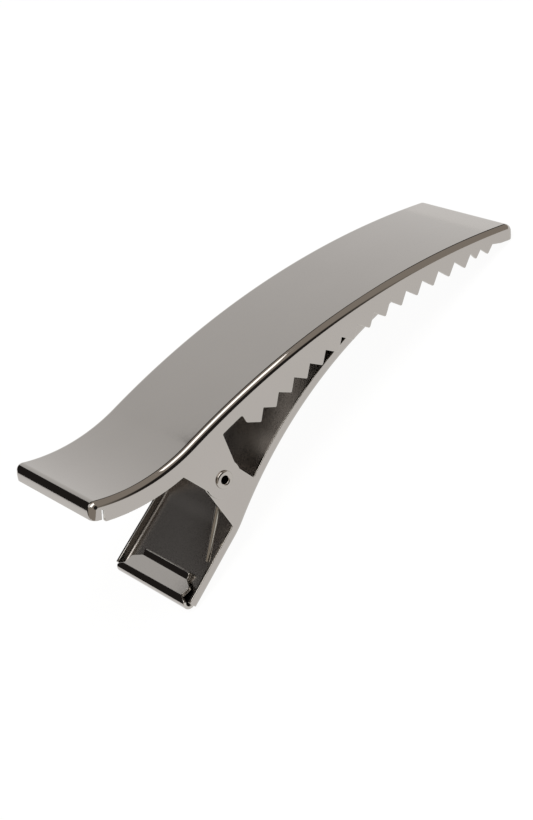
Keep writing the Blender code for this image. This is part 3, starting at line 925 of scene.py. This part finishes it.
@dataclass
class Rivet(ClipPiece):
    """The hollow rivet with a curled head at each end.

    Attributes:
        seat: from the middle to the underside of a head.
        tube, bore: outside and inside radius of its tube.
        mouth: share of the seat at which the straight bore ends.
        head, height: radius and height of a head.
        crown: angles in degrees between which a head's top is round.
        crown_steps: chords of it.
        dome: share of the height that is round.
        brim: radius of a head's underside as a share of its own.
        turns: how many times the profile is repeated round the axis.
        crease: least angle, in degrees, that shows as a sharp edge.
    """

    slot: ClassVar[str] = "rivet"
    body: ClassVar[str] = "lower"
    node: ClassVar[str] = "pivot_rivet"

    seat: float = 10.05 * MM
    tube: float = 0.9 * MM
    bore: float = 0.58 * MM
    mouth: float = 0.9
    head: float = 1.3 * MM
    height: float = 0.3 * MM
    crown: tuple[float, float] = (180.0, -30.0)
    crown_steps: int = 21
    dome: float = 0.75
    brim: float = 0.86
    turns: int = 96
    crease: float = 50.0

    def build(self) -> bpy.types.Object:
        """Turn the profile round the pivot: each point (r, y) runs over (r cos a, y, r sin a).

        Returns:
            The object.
        """
        curl = (self.head - self.bore) / 2
        crown = np.radians(np.linspace(*self.crown, self.crown_steps + 1))
        rise = self.height * (1 - self.dome + self.dome * np.sin(crown))
        top = np.column_stack([self.bore + curl + curl * np.cos(crown), self.seat + rise])
        side = np.vstack([[[self.bore, 0.0], [self.bore, self.seat * self.mouth]], top,
                          [[self.head * self.brim, self.seat], [self.tube, self.seat], [self.tube, 0.0]]])
        profile = np.vstack([side, (side * [1.0, -1.0])[-2:0:-1]])
        a = np.linspace(0.0, 2 * np.pi, self.turns, endpoint=False)[None, :]
        r, y = profile[:, :1], profile[:, 1:]
        points = np.stack([r * np.cos(a), y + 0 * a, r * np.sin(a)], axis=-1) + PIVOT
        rows, columns = points.shape[:2]
        index = np.arange(rows * columns).reshape(rows, columns)
        right, down = np.roll(index, -1, axis=1), np.roll(index, -1, axis=0)
        quads = np.stack([index, right, np.roll(down, -1, axis=1), down], axis=-1).reshape(-1, 4)
        made = make_object("rolled_rivet", points.reshape(-1, 3), quads.tolist())
        made.data.set_sharp_from_angle(angle=np.radians(self.crease))
        return made


@dataclass
class Spring(ClipPiece):
    """The torsion spring: a coil round the rivet with one straight leg on each handle.

    Attributes:
        wire, coil: radius of the wire and of the coil's centre line.
        turns: whole turns of the coil.
        half: half the coil's width.
        wire_gap: between a leg's foot and the sheet under it.
        feet: how far behind the pivot the lower and the upper foot lie.
        sides: sides of the wire's circle.
        turn_steps, leg_steps, cap_steps: stations of one turn, of a leg and of a rounded end.
        squash: length of a rounded end as a share of the wire's radius.
    """

    slot: ClassVar[str] = "spring_wire"
    node: ClassVar[str] = "torsion_spring"

    wire: float = 0.35 * MM
    coil: float = 1.75 * MM
    turns: int = 12
    half: float = 7.6 * MM
    wire_gap: float = 0.3 * MM
    feet: tuple[float, float] = (8.3 * MM, 8.6 * MM)
    sides: int = 16
    turn_steps: int = 40
    leg_steps: int = 12
    cap_steps: int = 4
    squash: float = 0.35

    def centre_line(self, lower: SidePath, upper: SidePath) -> tuple[np.ndarray, np.ndarray]:
        """Centre of the wire, from the lower foot to the upper one.

        The coil is the helix (R cos a, y, R sin a) whose y grows evenly with a.  Each leg leaves it along
        its tangent, so that the direction away from the axis stays the same along the leg.

        Args:
            lower, upper: the paths of both plates.

        Returns:
            The stations, and at each the direction away from the coil's axis.
        """
        rise = SHEET + self.wire_gap + self.wire
        low, high = self.feet
        foot_low = lower.off(np.array(lower.length_at_x(-low)), rise)
        foot_high = upper.off(np.array(upper.length_at_x(-high)), -rise)
        enter = np.arctan2(foot_low[1], foot_low[0]) + np.arccos(self.coil / np.hypot(*foot_low))
        leave = np.arctan2(foot_high[1], foot_high[0]) - np.arccos(self.coil / np.hypot(*foot_high))
        leave += 2 * np.pi * (self.turns + (leave < enter))
        a = np.linspace(enter, leave, int((leave - enter) / (2 * np.pi) * self.turn_steps))
        y = self.half * np.linspace(-1.0, 1.0, len(a))
        coil = np.column_stack([self.coil * np.cos(a), y, self.coil * np.sin(a)])
        t = np.linspace(0.0, 1.0, self.leg_steps, endpoint=False)[:, None]
        start = np.array([foot_low[0], -self.half, foot_low[1]])
        end = np.array([foot_high[0], self.half, foot_high[1]])
        line = np.vstack([start + (coil[0] - start) * t, coil, (end + (coil[-1] - end) * t)[::-1]])
        angle = np.concatenate([np.full(len(t), enter), a, np.full(len(t), leave)])
        return line, np.column_stack([np.cos(angle), 0 * angle, np.sin(angle)])

    def build(self, lower: SidePath, upper: SidePath) -> bpy.types.Object:
        """Carry a circle along the centre line, closing each end in a flattened round.

        At an end the circle's radius is r cos(c) and it moves out by squash r sin(c).

        Args:
            lower, upper: the paths of both plates.

        Returns:
            The object, with the point attribute wire_length, the length along the wire.
        """
        line, away = self.centre_line(lower, upper)
        along = unit(np.gradient(line, axis=0))
        cap = np.linspace(np.pi / 2, 0.0, self.cap_steps + 1)[1:-1]
        start = line[0] - along[0] * self.wire * self.squash * np.sin(cap)[:, None]
        end = line[-1] + along[-1] * self.wire * self.squash * np.sin(cap)[::-1, None]
        radius = self.wire * np.concatenate([np.cos(cap), np.ones(len(line)), np.cos(cap)[::-1]])
        line = np.vstack([start, line, end])
        along = np.pad(along, ((len(cap), len(cap)), (0, 0)), mode="edge")
        away = np.pad(away, ((len(cap), len(cap)), (0, 0)), mode="edge")
        away = unit(away - along * np.sum(away * along, axis=1, keepdims=True))
        beside = np.cross(along, away)
        a = np.linspace(0.0, 2 * np.pi, self.sides, endpoint=False)[None, :, None]
        ring = away[:, None] * np.cos(a) + beside[:, None] * np.sin(a)
        points = line[:, None] + ring * radius[:, None, None] + PIVOT
        rows, columns = points.shape[:2]
        index = np.arange(rows * columns).reshape(rows, columns)
        nearer, farther = index[:-1], index[1:]
        quads = np.stack([nearer, np.roll(nearer, -1, 1), np.roll(farther, -1, 1), farther], axis=-1)
        caps = [index[0, ::-1].tolist(), index[-1].tolist()]
        made = make_object("wound_spring", points.reshape(-1, 3), quads.reshape(-1, 4).tolist() + caps)
        reach = np.append(0.0, np.cumsum(np.linalg.norm(np.diff(line, axis=0), axis=1)))
        mark_points(made, "wire_length", np.repeat(reach, columns).astype(np.float32))
        return made

    def ride(self, piece: bpy.types.Object) -> None:
        """Keep the spring, which runs between the jaws from one end of its coil to the other, where it was
        built: its place is baked into its mesh and it moves with neither jaw.

        Args:
            piece: the spring.
        """
        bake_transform(piece)


def linear(colour: str) -> tuple[float, float, float, float]:
    """A colour from its sRGB hex value to linear light: v / 12.92, or ((v + 0.055) / 1.055) to the 2.4.

    Args:
        colour: six hex digits, such as 8a7f70.

    Returns:
        Red, green, blue and 1.
    """
    value = np.array([int(colour[i:i + 2], 16) for i in (0, 2, 4)]) / 255
    line = np.where(value <= 0.04045, value / 12.92, ((value + 0.055) / 1.055) ** 2.4)
    return (*line.tolist(), 1.0)


def add_node(tree: bpy.types.NodeTree, kind: str, settings: dict | None = None,
             links: dict | None = None) -> bpy.types.Node:
    """Add a node.

    A Mix node's two values have no names of their own: they are inputs 2 and 3 for a number, and 6 and 7
    for a colour.

    Args:
        tree: the node tree.
        kind: the node's type name.
        settings: values for its properties, or for its inputs where a name or number is one of those.
        links: input name or number to the output socket that feeds it.

    Returns:
        The node.
    """
    node = tree.nodes.new(kind)
    for name, value in (settings or {}).items():
        if isinstance(name, int) or name in node.inputs:
            node.inputs[name].default_value = value
        else:
            setattr(node, name, value)
    for name, socket in (links or {}).items():
        tree.links.new(socket, node.inputs[name])
    return node


@dataclass(frozen=True)
class Plating:
    """Bright metal plating over steel.

    Attributes:
        name: what the finish is called.
        colour: sRGB hex value of the metal.
        edge_highlight_colour: sRGB hex value where the sheet was cut, a little brighter than the face: a
            painted highlight along the cut edge.
        roughness: of the polished face.
        inner: roughness of the inner face, which isn't polished.
        waviness: height of the gentle waves left by pressing.
        wave: their length.
        line, line_height: width and height of the polishing lines.
        stretch: width of a line as a share of its length.
        tone: range of the colour's slow drift.
        gloss: range of the roughness across the lines, as shares of it.
        cut: how much rougher a cut edge is.
    """

    name: str
    colour: str
    edge_highlight_colour: str
    roughness: float
    inner: float
    waviness: float
    wave: float = 5.0 * MM
    line: float = 0.12 * MM
    line_height: float = 0.0006 * MM
    stretch: float = 0.02
    tone: tuple[float, float] = (0.97, 1.03)
    gloss: tuple[float, float] = (0.85, 1.2)
    cut: float = 0.1

    def material(self) -> bpy.types.Material:
        """Polished plating: a mirror with faint long waves, fine polishing lines and softer cut edges,
        which are painted a little lighter as a highlight.

        The real polishing lines are some hundredths of a millimetre wide; they are drawn wider to show.

        Returns:
            The material.
        """
        made = bpy.data.materials.new(self.name)
        made.use_nodes = True
        tree = made.node_tree
        shader = tree.nodes["Principled BSDF"]
        place = add_node(tree, "ShaderNodeTexCoord").outputs["Object"]
        waves = add_node(tree, "ShaderNodeTexNoise", {"Scale": 1 / self.wave, "Detail": 1.0},
                         {"Vector": place})
        drawn = add_node(tree, "ShaderNodeMapping", {"Scale": (self.stretch, 1.0, 1.0)}, {"Vector": place})
        lines = add_node(tree, "ShaderNodeTexNoise", {"Scale": 1 / self.line, "Detail": 2.0},
                         {"Vector": drawn.outputs[0]})
        haze = add_node(tree, "ShaderNodeTexNoise", {"Scale": 0.5 / self.wave, "Detail": 4.0},
                        {"Vector": place})
        edge = add_node(tree, "ShaderNodeAttribute", {"attribute_name": "cut_edge"}).outputs["Fac"]
        inside = add_node(tree, "ShaderNodeAttribute", {"attribute_name": "inner_face"}).outputs["Fac"]
        dark, light = self.tone
        tone = add_node(tree, "ShaderNodeMapRange", {"To Min": dark, "To Max": light},
                        {"Value": haze.outputs["Fac"]})
        # Painted highlight: the cut edge's colour is mixed towards a lighter one.
        face = add_node(tree, "ShaderNodeMix", {"data_type": "RGBA", "blend_type": "MIX",
                                                6: linear(self.colour), 7: linear(self.edge_highlight_colour)},
                        {0: edge})
        toned = add_node(tree, "ShaderNodeVectorMath", {"operation": "SCALE"},
                         {0: face.outputs[2], "Scale": tone.outputs[0]})
        tree.links.new(toned.outputs[0], shader.inputs["Base Color"])
        (low, high), (smooth, rough) = NOISE_SPAN, self.gloss
        polished = add_node(tree, "ShaderNodeMapRange", {"From Min": low, "From Max": high,
                                                         "To Min": smooth * self.roughness,
                                                         "To Max": rough * self.roughness},
                            {"Value": lines.outputs["Fac"]})
        softer = add_node(tree, "ShaderNodeMath", {"operation": "MULTIPLY_ADD", 1: self.cut},
                          {0: edge, 2: polished.outputs[0]})
        satin = add_node(tree, "ShaderNodeMath",
                         {"operation": "MULTIPLY_ADD", 1: self.inner - self.roughness},
                         {0: inside, 2: softer.outputs[0]})
        tree.links.new(satin.outputs[0], shader.inputs["Roughness"])
        press = add_node(tree, "ShaderNodeBump", {"Strength": 1.0, "Distance": self.waviness},
                         {"Height": waves.outputs["Fac"]})
        polish = add_node(tree, "ShaderNodeBump", {"Strength": 1.0, "Distance": self.line_height},
                          {"Height": lines.outputs["Fac"], "Normal": press.outputs["Normal"]})
        tree.links.new(polish.outputs["Normal"], shader.inputs["Normal"])
        shader.inputs["Metallic"].default_value = 1.0
        return made


@dataclass(frozen=True)
class SpringWire:
    """Drawn spring steel wire with faint rings of tone along its length.

    Attributes:
        name: what the finish is called.
        colour, dark: sRGB hex values between which its tone drifts.
        roughness: of the drawn wire.
        gloss: range of the roughness, as shares of it.
        drift: length of wire over which the tone changes.
    """

    name: str = "drawn_spring_steel"
    colour: str = "b4afa6"
    dark: str = "8f8a82"
    roughness: float = 0.2
    gloss: tuple[float, float] = (0.8, 1.3)
    drift: float = 10.0 / 3.0 * MM

    def material(self) -> bpy.types.Material:
        """Bright wire: its tone and its gloss drift over some millimetres of its length.

        Returns:
            The material.
        """
        made = bpy.data.materials.new(self.name)
        made.use_nodes = True
        tree = made.node_tree
        shader = tree.nodes["Principled BSDF"]
        length = add_node(tree, "ShaderNodeAttribute", {"attribute_name": "wire_length"}).outputs["Fac"]
        drift = add_node(tree, "ShaderNodeTexNoise",
                         {"noise_dimensions": "1D", "Scale": 1 / self.drift, "Detail": 3.0}, {"W": length})
        tone = add_node(tree, "ShaderNodeMix", {"data_type": "RGBA", 6: linear(self.dark),
                                                7: linear(self.colour)}, {0: drift.outputs["Fac"]})
        tree.links.new(tone.outputs[2], shader.inputs["Base Color"])
        smooth, rough = self.gloss
        drawn = add_node(tree, "ShaderNodeMapRange", {"To Min": smooth * self.roughness,
                                                      "To Max": rough * self.roughness},
                         {"Value": drift.outputs["Fac"]})
        tree.links.new(drawn.outputs[0], shader.inputs["Roughness"])
        shader.inputs["Metallic"].default_value = 1.0
        return made


@dataclass(frozen=True)
class Zone:
    """A round part of the room with a soft edge.

    Attributes:
        centre: direction of its middle.
        inner: angle in degrees from there up to which it is full.
        outer: angle past which it is gone.
    """

    centre: tuple[float, float, float]
    inner: float
    outer: float

    def mask(self, tree: bpy.types.NodeTree, way: bpy.types.NodeSocket) -> bpy.types.NodeSocket:
        """Compare a direction with the middle by the cosine between them.

        Args:
            tree: the world's node tree.
            way: the direction.

        Returns:
            A socket that gives 1 in the zone and 0 outside, smooth between.
        """
        dot = add_node(tree, "ShaderNodeVectorMath",
                       {"operation": "DOT_PRODUCT", 1: Vector(self.centre).normalized()}, {0: way})
        near, far = np.cos(np.radians([self.inner, self.outer])).tolist()
        mask = add_node(tree, "ShaderNodeMapRange", {"interpolation_type": "SMOOTHSTEP", "From Min": far,
                                                     "From Max": near}, {"Value": dot.outputs["Value"]})
        return mask.outputs[0]


@dataclass
class Studio:
    """A white table and backdrop, one large soft lamp overhead and a dim room round them.

    Attributes:
        eye: the camera's place from the pivot.
        right, up: its own directions.
        lens_over_height, sensor: lens length over the frame's height, and that height in millimetres.
        lamp_size, lamp_place, lamp_radiance: the flat lamp overhead.
        room, dark: sRGB hex values of the room and of its dark parts.
        gap, shade, window: the dark part above the backdrop, the one on the camera's side, and the bright
            one that lights the flange.
        paper: sRGB hex value of the white cards.
        glow: strength at which a card shows white to the camera.
        floor_front, floor_reach: where the floor starts and how far it goes.
        floor_share, floor_fade: share of the floor's glow, and two places along Y with its strength there.
        backdrop_x, backdrop_y, backdrop_top: sides, place and height of the backdrop.
        backdrop_fade: the strength of its glow at its foot and at its top.
    """

    eye: tuple[float, float, float] = (-55.1 * MM, -216.6 * MM, 160.65 * MM)
    right: tuple[float, float, float] = (0.630, -0.589, -0.5061)
    up: tuple[float, float, float] = (0.7368, 0.2477, 0.6291)
    lens_over_height: float = 2000 / 820
    sensor: float = 36.0
    lamp_size: tuple[float, float] = (1.2, 0.55)
    lamp_place: tuple[float, float, float] = (0.06, -0.25, 1.0)
    lamp_radiance: float = 2.6
    room: str = "ada59c"
    dark: str = "2c2928"
    gap: Zone = Zone((0.0, 1.0, 0.0), 56.0, 66.0)
    shade: Zone = Zone((0.1, -0.95, 0.2), 23.0, 34.0)
    window: Zone = Zone((-0.3, 0.35, 0.88), 20.0, 26.0)
    paper: str = "f4f4f3"
    glow: float = 1.05
    floor_front: float = -0.085
    floor_reach: float = 3.0
    floor_share: float = 0.9
    floor_fade: tuple = ((0.2, 1.05), (0.7, 0.92))
    backdrop_x: tuple[float, float] = (0.08, 0.76)
    backdrop_y: float = 0.7
    backdrop_top: float = 0.52
    backdrop_fade: tuple[float, float] = (0.92, 0.73)

    def camera(self) -> None:
        """Set up the camera, by its place from the pivot and its own right and up directions."""
        data = bpy.data.cameras.new("camera")
        data.sensor_width = self.sensor
        data.lens = self.lens_over_height * self.sensor
        data.clip_start, data.clip_end = 0.01, 20.0
        made = bpy.data.objects.new("camera", data)
        bpy.context.scene.collection.objects.link(made)
        right = Vector(self.right).normalized()
        up = (Vector(self.up) - right * right.dot(Vector(self.up))).normalized()
        axes = Matrix((right, up, right.cross(up))).transposed().to_4x4()
        axes.translation = Vector(PIVOT.tolist()) + Vector(self.eye)
        made.matrix_world = axes
        bpy.context.scene.camera = made

    def lamp(self) -> None:
        """Hang the lamp; a flat lamp of radiance L gives pi L times its area in watts."""
        data = bpy.data.lights.new("overhead_softbox", "AREA")
        data.shape = "RECTANGLE"
        data.size, data.size_y = self.lamp_size
        data.energy = self.lamp_radiance * np.pi * data.size * data.size_y
        made = bpy.data.objects.new("overhead_softbox", data)
        made.location = self.lamp_place
        bpy.context.scene.collection.objects.link(made)

    def white(self, share: float, axis: str, fade: tuple) -> bpy.types.Material:
        """White card: partly its own diffuse white, which keeps shadows, partly a plain white glow.

        Args:
            share: the glow's share for rays that show the card.
            axis: X, Y or Z, along which the glow's strength changes in reflections.
            fade: two places on that axis, each with its strength.

        Returns:
            The material.
        """
        made = bpy.data.materials.new("white_card")
        made.use_nodes = True
        tree = made.node_tree
        tree.nodes.clear()
        ray = add_node(tree, "ShaderNodeLightPath")
        seen = add_node(tree, "ShaderNodeMath", {"operation": "ADD", "use_clamp": True},
                        {0: ray.outputs["Is Camera Ray"], 1: ray.outputs["Is Glossy Ray"]})
        seen = add_node(tree, "ShaderNodeMath", {"operation": "ADD", "use_clamp": True},
                        {0: seen.outputs[0], 1: ray.outputs["Is Transmission Ray"]})
        part = add_node(tree, "ShaderNodeMath", {"operation": "MULTIPLY", 1: share}, {0: seen.outputs[0]})
        card = add_node(tree, "ShaderNodeBsdfDiffuse", {"Color": linear(self.paper)})
        place = add_node(tree, "ShaderNodeSeparateXYZ", {},
                         {0: add_node(tree, "ShaderNodeTexCoord").outputs["Object"]})
        (near, bright), (far, dim) = fade
        ramp = add_node(tree, "ShaderNodeMapRange", {"From Min": near, "From Max": far, "To Min": bright,
                                                     "To Max": dim}, {"Value": place.outputs[axis]})
        level = add_node(tree, "ShaderNodeMix", {"data_type": "FLOAT", 3: self.glow},
                         {0: ray.outputs["Is Camera Ray"], 2: ramp.outputs[0]})
        shine = add_node(tree, "ShaderNodeEmission", {}, {"Strength": level.outputs[0]})
        mix = add_node(tree, "ShaderNodeMixShader", {},
                       {0: part.outputs[0], 1: card.outputs[0], 2: shine.outputs[0]})
        add_node(tree, "ShaderNodeOutputMaterial", {}, {"Surface": mix.outputs[0]})
        return made

    def card(self, name: str, corners: list, finish: bpy.types.Material) -> None:
        """Add a flat card that isn't part of the clip.

        Args:
            name: the card's name.
            corners: its four corners.
            finish: its material.
        """
        mesh = bpy.data.meshes.new(name)
        mesh.from_pydata(corners, [], [(0, 1, 2, 3)])
        mesh.materials.append(finish)
        made = bpy.data.objects.new(name, mesh)
        bpy.context.scene.collection.objects.link(made)

    def world(self) -> None:
        """Make the room: warm grey with its dark parts and its bright one, and white to the camera."""
        made = bpy.data.worlds.new("room")
        bpy.context.scene.world = made
        made.use_nodes = True
        tree = made.node_tree
        tree.nodes.clear()
        way = add_node(tree, "ShaderNodeTexCoord").outputs["Generated"]
        dark = add_node(tree, "ShaderNodeMath", {"operation": "MAXIMUM"},
                        {0: self.gap.mask(tree, way), 1: self.shade.mask(tree, way)})
        tone = add_node(tree, "ShaderNodeMix", {"data_type": "RGBA", 6: linear(self.room),
                                                7: linear(self.dark)}, {0: dark.outputs[0]})
        lit = add_node(tree, "ShaderNodeMix", {"data_type": "RGBA", 7: linear("ffffff")},
                       {0: self.window.mask(tree, way), 6: tone.outputs[2]})
        ray = add_node(tree, "ShaderNodeLightPath")
        shown = add_node(tree, "ShaderNodeMix", {"data_type": "RGBA", 7: linear("ffffff")},
                         {0: ray.outputs["Is Camera Ray"], 6: lit.outputs[2]})
        back = add_node(tree, "ShaderNodeBackground", {}, {"Color": shown.outputs[2]})
        add_node(tree, "ShaderNodeOutputWorld", {}, {"Surface": back.outputs[0]})

    def build(self) -> None:
        """Set up the camera, the light and the cards."""
        self.camera()
        self.lamp()
        self.world()
        reach, front = self.floor_reach, self.floor_front
        self.card("floor", [(-reach, front, 0.0), (reach, front, 0.0), (reach, reach, 0.0),
                            (-reach, reach, 0.0)], self.white(self.floor_share, "Y", self.floor_fade))
        (left, right), y, top = self.backdrop_x, self.backdrop_y, self.backdrop_top
        foot_glow, top_glow = self.backdrop_fade
        self.card("backdrop", [(left, y, 0.0), (right, y, 0.0), (right, y, top), (left, y, top)],
                  self.white(1.0, "Z", ((0.0, foot_glow), (top, top_glow))))
        bpy.context.scene.view_settings.view_transform = "Standard"


def main() -> None:
    """Build every piece, dress it and set up the studio."""
    # Dark nickel plating, polished: a warm grey mirror outside and satin on the inner face of the sheet;
    # the second colour is a painted highlight on the cut edges.
    sheet = ("aea9a4", "b8b4ae", 0.05, 0.23, 0.0012 * MM)
    # Nickel plating on rolled tube: the same warm grey, dulled by the rolling.
    rolled = Plating("rolled_nickel_plating", "b0aba5", "b0aba5", 0.12, 0.12, 0.0005 * MM)
    upper_jaw, lower_jaw, rivet, spring = UpperJaw(), LowerJaw(), Rivet(), Spring()
    upper, upper_path = upper_jaw.build()
    upper_jaw.dress(upper, Plating("polished_gunmetal_plating", *sheet).material())
    lower, lower_path = lower_jaw.build(upper_path)
    lower_jaw.dress(lower, Plating("polished_gunmetal_lower", *sheet).material())
    rivet.dress(rivet.build(), rolled.material())
    spring.dress(spring.build(lower_path, upper_path), SpringWire().material())
    Studio().build()
    bpy.context.view_layer.update()


if __name__ == "__main__":
    logging.basicConfig(level=logging.INFO, format="%(message)s")
    main()
